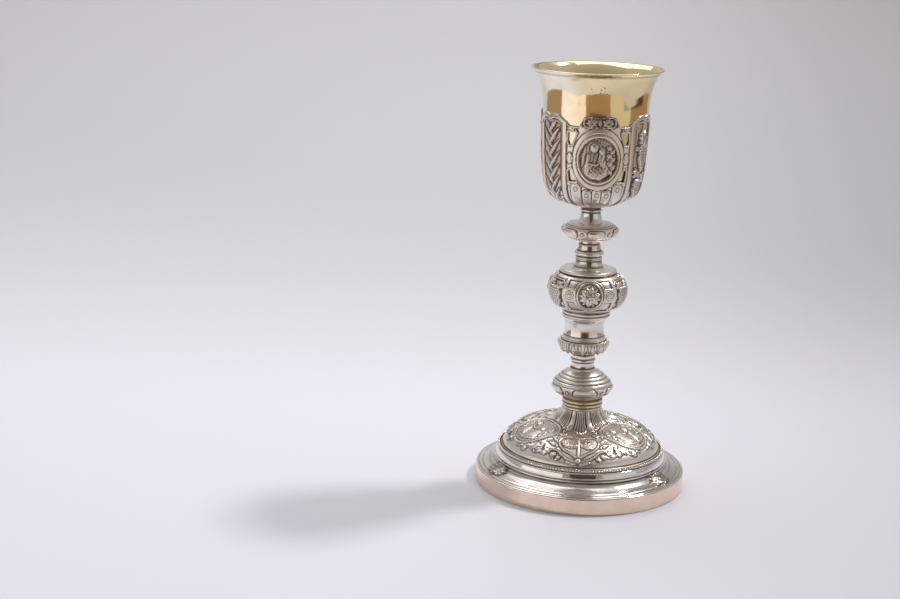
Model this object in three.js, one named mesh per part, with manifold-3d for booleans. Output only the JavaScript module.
// A silver chalice with a gilt cup, 300 mm high: twelve turned and embossed pieces stacked on one axis.
// Millimetres, +Z up, the foot stands on z = 0 and the front of the chalice faces -Y.
// A turn is an angle about the axis in degrees, counted from the front (-Y) towards +X.

import * as THREE from 'three';
import { mergeVertices } from 'three/addons/utils/BufferGeometryUtils.js';
import Module from 'manifold-3d';

const wasm = await Module();
wasm.setup();

// Heights of the flat joints between the pieces
const FOOT_TOP = 55.4;
const COLLAR_TOP = 65.6;
const LOWER_KNOP_TOP = 84;
const LOWER_SPOOL_TOP = 97.4;
const LEAF_RING_TOP = 107.6;
const VASE_TOP = 123.5;
const NODUS_TOP = 158.4;
const SPOOL_TOP = 180;
const UPPER_KNOP_TOP = 191.6;
const NECK_TOP = 204;
const CUP_SEAT = 206;
const CUP_TOP = 300;

// Walls of the hollow pieces, and the play between the cup and its sheath
const CUP_WALL = 0.8;
const CUP_GAP = 0.35;
const FOOT_WALL = 1.6;

// How far the back of a relief is sunk in its ground
const SUNK = -0.7;

const FOOT_RADIUS = 75.5;
const LIP_RADIUS = 46.3;
const CUP_SIDES = 28;

// The stem stands slightly out of line: shifts of its lower pieces along X
const LOWER_KNOP_SHIFT = -0.5;
const LOWER_SPOOL_SHIFT = -0.8;
const LEAF_RING_SHIFT = -1.1;
const VASE_SHIFT = -0.9;

// Where the ornament sits, each repeated at every third of the round
const THIRD = 120;
const CALYX_MEDALLION_TURN = 5.5;
const NODUS_MEDALLION_TURN = 4.3;
const FOOT_SHIELD_TURN = -1;
const HALF_THIRD = THIRD / 2;

// Calyx ornament: turns away from the middle of a medallion
const LOBE_EDGES = [5.8, 18, 31.8];
const BAND_EDGES = [36, 42.5];
const CREST_EDGE = 18;
const UPPER_WINDOW = [[25, 259], [33, 258.6], [33.4, 251], [29, 250.6]];
const LOWER_WINDOW = [[24.5, 225.8], [31.5, 225.4], [32, 233], [29.5, 233.2]];
const MEDALLION_HEIGHT = 241.3;

const silver = new THREE.MeshStandardMaterial({ color: 0xb9b0a6, roughness: 0.22, metalness: 1 });
const warmSilver = new THREE.MeshStandardMaterial({ color: 0xc2a878, roughness: 0.26, metalness: 1 });
const gilt = new THREE.MeshStandardMaterial({ color: 0xd8bd78, roughness: 0.14, metalness: 1 });

const radians = THREE.MathUtils.degToRad;

/** A closed geometry as a solid, with equal vertices merged and its faces turned outwards. */
function asSolid(geometry) {
  const bare = geometry.clone();
  bare.deleteAttribute('normal');
  bare.deleteAttribute('uv');
  const merged = mergeVertices(bare, 1e-4);
  const vertProperties = new Float32Array(merged.attributes.position.array);
  const corners = merged.index.array;
  const corner = (k) => new THREE.Vector3().fromArray(vertProperties, 3 * k);
  const triangles = [];
  let volume = 0;
  for (let i = 0; i < corners.length; i += 3) {
    const [a, b, c] = corners.slice(i, i + 3);
    if (a !== b && b !== c && c !== a) {
      triangles.push([a, b, c]);
      volume += corner(a).dot(corner(b).cross(corner(c)));
    }
  }
  const outward = volume > 0 ? triangles : triangles.map(([a, b, c]) => [a, c, b]);
  const triVerts = new Uint32Array(outward.flat());
  return new wasm.Manifold(new wasm.Mesh({ numProp: 3, vertProperties, triVerts }));
}

/** A lathe solid about Z from a profile of [radius, height]; reshape may move each of its points. */
function turned(profile, sides, reshape = (point) => point) {
  const outline = profile.map(([r, z]) => new THREE.Vector2(r, z));
  const geometry = new THREE.LatheGeometry(outline, sides);
  const position = geometry.attributes.position;
  for (let i = 0; i < position.count; i += 1) {
    const row = i % profile.length;
    const column = Math.floor(i / profile.length) % sides;
    const [r, z] = profile[row];
    const point = reshape({ r, z, row, column, turn: (360 * column) / sides });
    const angle = radians(point.turn);
    position.setXYZ(i, point.r * Math.sin(angle), -point.r * Math.cos(angle), point.z);
  }
  return asSolid(geometry);
}

/** The outline of a turned surface, walked by its length, on which relief is laid. */
class Outline {
  constructor(points) {
    this.points = points.map(([r, z]) => new THREE.Vector2(r, z));
    this.lengths = [0];
    for (let i = 1; i < this.points.length; i += 1) {
      this.lengths.push(this.lengths[i - 1] + this.points[i].distanceTo(this.points[i - 1]));
    }
  }

  at(length) {
    const last = this.points.length - 1;
    let i = 1;
    while (i < last && this.lengths[i] < length) i += 1;
    const part = (length - this.lengths[i - 1]) / (this.lengths[i] - this.lengths[i - 1]);
    return this.points[i - 1].clone().lerp(this.points[i], part);
  }

  /** The length at which the outline, rising all the way, reaches a height. */
  lengthAt(height) {
    let i = 1;
    while (i < this.points.length - 1 && this.points[i].y < height) i += 1;
    const part = (height - this.points[i - 1].y) / (this.points[i].y - this.points[i - 1].y);
    return this.lengths[i - 1] + part * (this.lengths[i] - this.lengths[i - 1]);
  }

  /** The point at a distance out from the surface. */
  raised(length, out) {
    const reach = 1.2;
    const along = this.at(length + reach).sub(this.at(length - reach)).normalize();
    return this.at(length).add(new THREE.Vector2(along.y, -along.x).multiplyScalar(out));
  }

  /** The outline's points moved inwards, as a profile. */
  inset(distance) {
    return this.lengths.map((length) => this.raised(length, -distance).toArray());
  }
}

/**
 * Lays a relief in flat coordinates (x around, y up the surface, z out) on a turned surface,
 * a hair aside so that its corners don't fall exactly on the edges of the ground.
 */
function laid(geometry, outline, turn, height) {
  const placed = geometry.clone();
  const aside = 0.02;
  placed.translate(aside, aside, 0);
  const position = placed.attributes.position;
  const start = outline.lengthAt(height);
  for (let i = 0; i < position.count; i += 1) {
    const length = start + position.getY(i);
    const point = outline.raised(length, position.getZ(i));
    const angle = radians(turn) + position.getX(i) / outline.at(length).x;
    position.setXYZ(i, point.x * Math.sin(angle), -point.x * Math.cos(angle), point.y);
  }
  return asSolid(placed);
}

/** An oval plate in rings of [half width, half height, out] from the middle outwards, with a flat back. */
function ovalPlate(rings, back, sides) {
  const [width, height] = rings[rings.length - 1];
  const halfway = width > 8 ? [[width / 2, height / 2, back]] : [];
  const profile = [[0, 0, rings[0][2]], ...rings, [width, height, back], ...halfway, [0, 0, back]];
  const geometry = new THREE.LatheGeometry(profile.map((_, i) => new THREE.Vector2(1, i)), sides);
  const position = geometry.attributes.position;
  for (let i = 0; i < position.count; i += 1) {
    const [w, h, out] = profile[i % profile.length];
    const angle = (2 * Math.PI * (Math.floor(i / profile.length) % sides)) / sides;
    position.setXYZ(i, w * Math.cos(angle), h * Math.sin(angle), out);
  }
  return geometry;
}

/** A rounded swelling, a little more than half sunk in the surface. */
function swelling(x, y, halfWidth, halfHeight, out, lean = 0) {
  const geometry = new THREE.SphereGeometry(1, 6, 3);
  geometry.rotateX(Math.PI / 2);
  geometry.scale(halfWidth, halfHeight, out);
  geometry.rotateZ(radians(lean));
  geometry.translate(x, y, -0.2);
  return geometry;
}

/** A flat plate from its outline of [x, y], between two distances from the surface. */
function plate(outline, out, back) {
  const shape = new THREE.Shape(outline.map(([x, y]) => new THREE.Vector2(x, y)));
  const geometry = new THREE.ExtrudeGeometry(shape, { depth: out - back, bevelEnabled: false });
  geometry.translate(0, 0, back);
  return geometry;
}

/** A pointed blade from one point to another. */
function blade([x0, y0], [x1, y1], width, out) {
  const along = new THREE.Vector2(x1 - x0, y1 - y0);
  const side = new THREE.Vector2(-along.y, along.x).normalize().multiplyScalar(width / 2);
  const [mx, my] = [x0 + along.x * 0.4, y0 + along.y * 0.4];
  return plate([[x0, y0], [mx + side.x, my + side.y], [x1, y1], [mx - side.x, my - side.y]], out, SUNK);
}

/** A half outline of [x, y] joined with its mirror image across x = 0. */
function mirrored(half) {
  const other = half.filter(([x]) => x > 0).map(([x, y]) => [-x, y]);
  return [...half, ...other.reverse()];
}

/** A five-lobed vine leaf. */
function vineLeaf(x, y, size, out) {
  const half = [[0, 1], [0.4, 0.5], [1, 0.6], [0.7, 0], [0.9, -0.6]];
  return plate(mirrored(half).map(([u, v]) => [x + size * u, y + size * v]), out, SUNK);
}

/** A bunch of grapes as one mass: broad shoulders over a narrow tip. */
function bunch(x, y, halfWidth, halfHeight, out) {
  return [
    swelling(x, y + halfHeight * 0.25, halfWidth, halfHeight * 0.75, out),
    swelling(x, y - halfHeight * 0.4, halfWidth * 0.6, halfHeight * 0.6, out * 0.9),
  ];
}

/** Solids drawn by draw(turn, index) at each third of the round. */
function thirds(turn, draw) {
  return [0, 1, 2].flatMap((index) => draw(turn + THIRD * index, index));
}

function joined(body, reliefs) {
  return reliefs.reduce((result, relief) => result.add(relief), body);
}

function cutAway(body, cuts) {
  return cuts.reduce((result, cut) => result.subtract(cut), body);
}

function asMesh(name, solid, material, shift = 0) {
  const { vertProperties, triVerts } = solid.getMesh();
  const geometry = new THREE.BufferGeometry();
  geometry.setAttribute('position', new THREE.BufferAttribute(vertProperties, 3));
  geometry.setIndex(new THREE.BufferAttribute(triVerts, 1));
  const mesh = new THREE.Mesh(geometry, material);
  mesh.name = name;
  mesh.position.x = shift;
  return mesh;
}

// The ground of the sheath, from its seat on the neck to the top of the highest arch
const CALYX_OUTLINE = new Outline([
  [10.8, NECK_TOP], [22.5, 208], [29.2, 211.6], [33, 218], [35.1, 230], [36.4, 250], [36.8, 262.5],
  [37.9, 271.5],
]);

// The outside of the cup within the sheath
const CUP_NEST = new Outline([[12, CUP_SEAT], [23.6, 210.8], [31.4, 218.4], [34.2, 234], [36.4, 269]]);

/** Height of the scalloped rim, by the turn away from the middle of a medallion. */
function rimHeight(away) {
  const knots = [[0, 269.3], [12, 270.4], [18, 269.4], [21.5, 263.5], [33, 263.5], [36, 265], [42.5, 267.4],
    [48, 270], [54, 270.6], [60, 269.4]];
  const i = Math.max(1, knots.findIndex(([turn]) => turn >= away));
  const [[turn0, height0], [turn1, height1]] = [knots[i - 1], knots[i]];
  return THREE.MathUtils.mapLinear(away, turn0, turn1, height0, height1);
}

/** The sheath's outer form: its columns follow the ornament, with lobes at the base and raised arches. */
function calyxBody() {
  const half = [0, 5.8, 12, 18, 21.5, 31.8, ...BAND_EDGES, 51];
  const turns = [...half, HALF_THIRD, ...half.slice(1).map((turn) => THIRD - turn).reverse()];
  const outline = CALYX_OUTLINE;
  const profile = [[0, NECK_TOP], ...outline.points.map((point) => point.toArray()), [0, 271.5]];
  const topRow = profile.length - 2;
  return turned(profile, turns.length * 3, ({ r, z, row, column }) => {
    const local = turns[column % turns.length];
    const away = Math.min(local, THIRD - local);
    const turn = CALYX_MEDALLION_TURN + THIRD * Math.floor(column / turns.length) + local;
    if (row < 2 || row > topRow) return { r, z, turn };
    const rim = rimHeight(away);
    const height = row > topRow - 2 ? THREE.MathUtils.lerp(262.5, rim, (row - topRow + 2) / 2) : z;
    const onLobe = row < 5 && away < 33 && !LOBE_EDGES.includes(away);
    const onLeg = away >= BAND_EDGES[0] && away <= BAND_EDGES[1];
    const onArch = away > BAND_EDGES[1] && row > topRow - 2;
    const onCrest = away < CREST_EDGE && row > topRow - 2;
    let out = 0;
    if (onLobe) out = 0.7;
    if (onLeg || onArch) out = 0.8;
    if (onCrest) out = 1.1;
    const point = outline.raised(outline.lengthAt(height), out);
    return { r: point.x, z: row > topRow - 2 ? height : point.y, turn };
  });
}

/** A medallion: a broad flat oval frame and, inside its moulding, a seated figure with a child. */
function calyxMedallion(turn) {
  const rings = [[13, 15.4, 0.8], [14.6, 17.2, 1.3], [18.2, 21.6, 1]];
  const figure = [
    swelling(-1, -4.5, 6.4, 8.5, 2.2),
    swelling(-3.2, 6.4, 2.8, 3.3, 2.5),
    swelling(4.6, 3.4, 3, 6.4, 2.2),
  ];
  const parts = [ovalPlate(rings, SUNK, 16), ...figure];
  return parts.map((part) => laid(part, CALYX_OUTLINE, turn, MEDALLION_HEIGHT));
}

/** The openings around a medallion through which the gilt cup shows. */
function windows(turn) {
  const sides = [-1, 1];
  return sides.flatMap((side) => [UPPER_WINDOW, LOWER_WINDOW].map((corners) => {
    const start = CALYX_OUTLINE.lengthAt(MEDALLION_HEIGHT);
    const flat = corners.map(([away, height]) => {
      const length = CALYX_OUTLINE.lengthAt(height);
      return [side * radians(away) * CALYX_OUTLINE.at(length).x, length - start];
    });
    return laid(plate(flat, 2.5, -2.5), CALYX_OUTLINE, turn, MEDALLION_HEIGHT);
  }));
}

/** Reeds: long blades crossing in a V pattern. */
function reeds() {
  const blades = [];
  for (const foot of [-25, -4]) {
    blades.push(blade([-0.5, foot], [-9, foot + 24], 4, 1.3));
    blades.push(blade([0.5, foot + 4], [9, foot + 28], 4, 1.4));
  }
  return blades;
}

function vine() {
  return [
    vineLeaf(1.5, 16, 7, 1.1),
    vineLeaf(-1.5, -20, 6.5, 1.1),
    ...bunch(0, -1, 6.4, 9.5, 2),
  ];
}

/** An upright branch with ears on both sides. */
function branch() {
  const parts = [blade([0.2, -27], [-0.2, 24], 2.4, 1)];
  for (const foot of [-20, 0]) {
    for (const side of [-1, 1]) {
      parts.push(blade([-0.6 * side, foot], [9 * side, foot + 18], 5, 1.4 + 0.1 * side));
    }
  }
  return parts;
}

function calyx() {
  const panelTurn = CALYX_MEDALLION_TURN + HALF_THIRD;
  const plants = [vine(), branch(), reeds()];
  const reliefs = [
    ...thirds(CALYX_MEDALLION_TURN, calyxMedallion),
    ...thirds(panelTurn, (turn, i) => plants[i].map((part) => laid(part, CALYX_OUTLINE, turn, 240))),
  ];
  const [, ...wall] = CUP_NEST.inset(-CUP_GAP);
  const mouth = wall[wall.length - 1][0] + 0.2;
  const cavity = turned([[0, CUP_SEAT], [12.4, CUP_SEAT], ...wall, [mouth, 280], [0, 280]], CUP_SIDES);
  const sheath = cutAway(joined(calyxBody(), reliefs), [cavity, ...thirds(CALYX_MEDALLION_TURN, windows)]);
  return asMesh('calyx', sheath, silver);
}

function cup() {
  const nest = CUP_NEST.points.map((point) => point.toArray());
  const outside = [...nest, [37.3, 278], [39.4, 288.6], [42.2, 294.7], [LIP_RADIUS, 299.4]];
  const inside = new Outline(outside).inset(CUP_WALL).slice(1, -1).reverse();
  const lip = [[LIP_RADIUS, CUP_TOP], [LIP_RADIUS - CUP_WALL, CUP_TOP]];
  const profile = [[0, CUP_SEAT], ...outside, ...lip, ...inside, [0, CUP_SEAT + CUP_WALL]];
  return asMesh('cup', turned(profile, CUP_SIDES), gilt);
}

function neck() {
  const profile = [[0, UPPER_KNOP_TOP], [9, UPPER_KNOP_TOP], [7.6, 194.8], [6.7, 198.8], [7.6, 199.8],
    [7.4, 201.3], [8, 203], [10.8, 203.2], [10.8, NECK_TOP], [0, NECK_TOP]];
  return asMesh('neck', turned(profile, 16), silver);
}

/** A knop with raised oblong cartouches on the given rows of its profile, five columns to each. */
function cartoucheKnop(profile, cartouches, firstTurn, rows, out) {
  const columnTurn = 72 / cartouches;
  return turned(profile, cartouches * 5, ({ r, z, row, column }) => {
    const raised = rows.includes(row) && [1, 2, 3].includes(column % 5);
    return { r: raised ? r + out : r, z, turn: firstTurn + (column - 2) * columnTurn };
  });
}

function upperKnop() {
  const profile = [[0, SPOOL_TOP], [15, SPOOL_TOP], [15.6, 181.8], [18.7, 184.6], [19.2, 187.6],
    [18.2, 189.5], [14.6, UPPER_KNOP_TOP], [0, UPPER_KNOP_TOP]];
  return asMesh('upper_knop', cartoucheKnop(profile, 6, 14, [3, 4], 0.6), silver);
}

function spool() {
  const profile = [[0, NODUS_TOP], [12, NODUS_TOP], [10.3, 160], [9.2, 164], [9.3, 167.6], [10.5, 168.4],
    [10.4, 170.7], [8.7, 171.4], [8, 175.6], [7.2, 176.4], [7.2, SPOOL_TOP], [0, SPOOL_TOP]];
  return asMesh('spool', turned(profile, 16), silver);
}

// The ground of the nodus, from its lower lip to its collar
const NODUS_OUTLINE = new Outline([
  [16.9, 128], [22.5, 132.5], [26.2, 137.6], [27.6, 143], [26.8, 148.4], [24.2, 152.4], [19.9, 155.2],
]);

/** A medallion of the nodus: a frame around a five-petalled flower. */
function nodusMedallion(turn) {
  const petals = [];
  for (let i = 0; i < 10; i += 1) {
    const [reach, angle] = [i % 2 === 0 ? 7.4 : 4, radians(98 + 36 * i)];
    petals.push([reach * Math.cos(angle), reach * Math.sin(angle)]);
  }
  const frame = ovalPlate([[8.6, 9.2, 0.5], [10, 10.6, 1.2], [12, 12.4, 0.8]], SUNK, 12);
  return [frame, plate(petals, 1.6, SUNK)].map((part) => laid(part, NODUS_OUTLINE, turn, 143.4));
}

/** A side panel of the nodus: a bunch of grapes in a rounded border. */
function nodusPanel(turn) {
  const border = ovalPlate([[7.6, 9.4, 0.3], [9.6, 11.6, 1]], SUNK, 10);
  return [border, swelling(0, 0, 5.8, 7.4, 2.3)].map((part) => laid(part, NODUS_OUTLINE, turn, 142.6));
}

function nodus() {
  const ground = NODUS_OUTLINE.points.map((point) => point.toArray());
  const profile = [[0, VASE_TOP], [16.3, VASE_TOP], [17.2, 125], [17.2, 126.8], ...ground, [19.7, 155.8],
    [19.7, NODUS_TOP], [0, NODUS_TOP]];
  const reliefs = [
    ...thirds(NODUS_MEDALLION_TURN, nodusMedallion),
    ...thirds(NODUS_MEDALLION_TURN + HALF_THIRD, nodusPanel),
  ];
  return asMesh('nodus', joined(turned(profile, 28), reliefs), silver);
}

/** The plain waisted section that flares out to meet the nodus. */
function vase() {
  const profile = [[0, LEAF_RING_TOP], [14.8, LEAF_RING_TOP], [15.3, 108.8], [15.1, 109.8], [14.2, 112],
    [13.9, 114.6], [14.1, 117.6], [14.8, 120.4], [16, 122.6], [16.3, VASE_TOP], [0, VASE_TOP]];
  return asMesh('vase', turned(profile, 16), silver, VASE_SHIFT);
}

/** Hanging leaves: every second column is a furrow between two of them. */
function leafRing() {
  const leaves = 16;
  const profile = [[0, LOWER_SPOOL_TOP], [9, LOWER_SPOOL_TOP], [13.4, LOWER_SPOOL_TOP], [17.4, 100.6],
    [18.4, 104], [17.2, 106.4], [15, LEAF_RING_TOP], [0, LEAF_RING_TOP]];
  const ring = turned(profile, leaves * 2, ({ r, z, row, column, turn }) => {
    const furrow = column % 2 === 1 && row >= 3 && row <= 5;
    return { r: furrow ? r - 1.2 : r, z: furrow && row === 3 ? z + 1.4 : z, turn };
  });
  return asMesh('leaf_ring', ring, silver, LEAF_RING_SHIFT);
}

function lowerSpool() {
  const profile = [[0, LOWER_KNOP_TOP], [9.8, LOWER_KNOP_TOP], [8.8, 85.4], [8.3, 90.2], [9, 90.8], [9, 91.8],
    [8.3, 92.6], [8.6, 95], [7.6, 95.6], [8.1, 96.2], [8.1, LOWER_SPOOL_TOP], [0, LOWER_SPOOL_TOP]];
  return asMesh('lower_spool', turned(profile, 16), silver, LOWER_SPOOL_SHIFT);
}

function lowerKnop() {
  const profile = [[0, COLLAR_TOP], [17, COLLAR_TOP], [18, 67.2], [19.2, 69], [20.6, 72], [21.6, 73.6],
    [18.2, 76.8], [17.6, 78.6], [15, 80], [14.4, 81.8], [11, LOWER_KNOP_TOP], [0, LOWER_KNOP_TOP]];
  return asMesh('lower_knop', cartoucheKnop(profile, 5, 6.5, [3, 4], 0.5), silver, LOWER_KNOP_SHIFT);
}

function collar() {
  const profile = [[0, FOOT_TOP], [14, FOOT_TOP], [14, 56.9], [13.4, 57.5], [14.7, 58.2], [14.7, 59.5],
    [13.6, 60.1], [14.6, 60.8], [14.6, 62.4], [13.7, 63.2], [14.1, COLLAR_TOP], [0, COLLAR_TOP]];
  return asMesh('collar', turned(profile, 16), warmSilver);
}

// The foot's embossed dome, from its base moulding to its fluted neck
const DOME_OUTLINE = new Outline([
  [56, 28], [54.6, 31.2], [47.4, 37.4], [39.6, 41.6], [30, 44], [22, 45.4], [16.6, 48.4], [13.8, FOOT_TOP],
]);
const DOME_MIDDLE = 41.9;

/** A round medallion on the dome: a raised border around a scene of two figures. */
function domeMedallion(turn) {
  const rings = [[16.6, 14.6, 0.6], [19.4, 17, 1.1]];
  const figures = [swelling(-5, -1, 3.4, 7.4, 1.6, 8), swelling(5.4, -2.4, 3.8, 6.2, 1.5, -12)];
  return [ovalPlate(rings, SUNK, 12), ...figures].map((part) => laid(part, DOME_OUTLINE, turn, DOME_MIDDLE));
}

/** A shield on the dome: two rounds side by side over a pointed base. */
function domeShield(turn) {
  const outline = mirrored([[0, 3], [3.4, 6], [8.4, 6], [12.6, 1.6], [11.4, -5], [6, -10]]);
  return laid(plate(outline, 0.9, SUNK), DOME_OUTLINE, turn, 40.2);
}

// The polished flange, from its edge in to the foot of the torus
const FLANGE_OUTLINE = new Outline([
  [60.8, 18.6], [62.3, 16.6], [66, 14.3], [72.4, 12.3],
].reverse());

/** A spray on the flange: grapes on two spread leaves. */
function flangeSpray(turn) {
  const leaves = plate(mirrored([[5, 4], [12, 1.5], [6, -4]]), 1.1, SUNK);
  return [leaves, swelling(0, 0, 4.3, 4.8, 2.1)].map((part) => laid(part, FLANGE_OUTLINE, turn, 14.4));
}

function foot() {
  const dome = DOME_OUTLINE.points.map((point) => point.toArray());
  const profile = [[0, 0], [FOOT_RADIUS, 0], [FOOT_RADIUS, 11.6], [72.4, 12.3], [66, 14.3], [60.8, 18.6],
    [61.3, 21.3], [59, 24.8], [58.6, 27.2], ...dome, [0, FOOT_TOP]];
  const flutedRows = profile.length - 4;
  const body = turned(profile, 32, ({ r, z, row, column, turn }) => {
    const fluted = row >= flutedRows && row <= flutedRows + 1 && column % 2 === 1;
    return { r: fluted ? r - 1.1 : r, z, turn };
  });
  const rim = FOOT_RADIUS - FOOT_WALL;
  const hollow = [[0, -5], [rim, -5], [rim, 10.2], [60, 16], [58.6, 23], [53.4, 29.4], [38.6, 39.8],
    [18, 43.8], [0, 48]];
  const reliefs = [
    ...thirds(FOOT_SHIELD_TURN, domeShield),
    ...thirds(FOOT_SHIELD_TURN + HALF_THIRD, (turn) => [...domeMedallion(turn), ...flangeSpray(turn)]),
  ];
  return asMesh('foot', cutAway(joined(body, reliefs), [turned(hollow, 24)]), silver);
}

const chalice = new THREE.Group();
chalice.add(cup(), calyx(), neck(), upperKnop(), spool(), nodus());
chalice.add(vase(), leafRing(), lowerSpool(), lowerKnop(), collar(), foot());
export default chalice;
